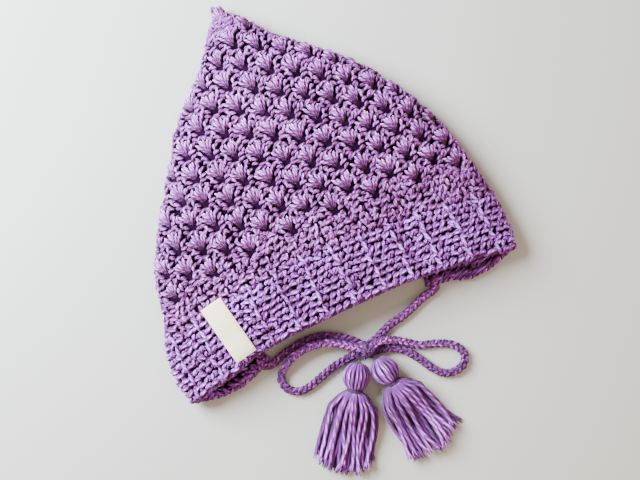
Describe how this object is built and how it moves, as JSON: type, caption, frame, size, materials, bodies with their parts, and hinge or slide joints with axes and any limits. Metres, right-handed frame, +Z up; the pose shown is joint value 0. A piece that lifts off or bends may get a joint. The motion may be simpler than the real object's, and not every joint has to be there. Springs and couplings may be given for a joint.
{
  "type": "crocheted pixie hood",
  "caption": "Soft pointed child's hood with a ribbed band, an open mouth and face opening, and cord ties in a bow that end in tassels, lying flat.",
  "frame": {"origin": "under the middle of the hood's bounding box, on the surface that it lies on; the ties, bow and tassels are not counted", "axes": "+X along the band toward the right side fold, +Y from the mouth toward the peak, +Z up from the surface"},
  "size_m": [0.2376, 0.3185, 0.03],
  "materials": {
    "yarn": "matt crocheted yarn, lilac",
    "cord_yarn": "matt crocheted cord, lilac",
    "tassel_yarn": "matt plied yarn, paler lilac",
    "wrap_yarn": "matt wound yarn, dark violet",
    "label_cloth": "smooth bare cream cloth"
  },
  "bodies": {
    "root": {"crown": "yarn", "band": "yarn", "label": "label_cloth", "tie_left": "cord_yarn", "tie_right": "cord_yarn", "loop_left": "cord_yarn", "loop_right": "cord_yarn", "bow_knot": "cord_yarn", "tassel_left": "tassel_yarn", "tassel_left_wrap": "wrap_yarn", "tassel_right": "tassel_yarn", "tassel_right_wrap": "wrap_yarn"}
  },
  "joints": []
}
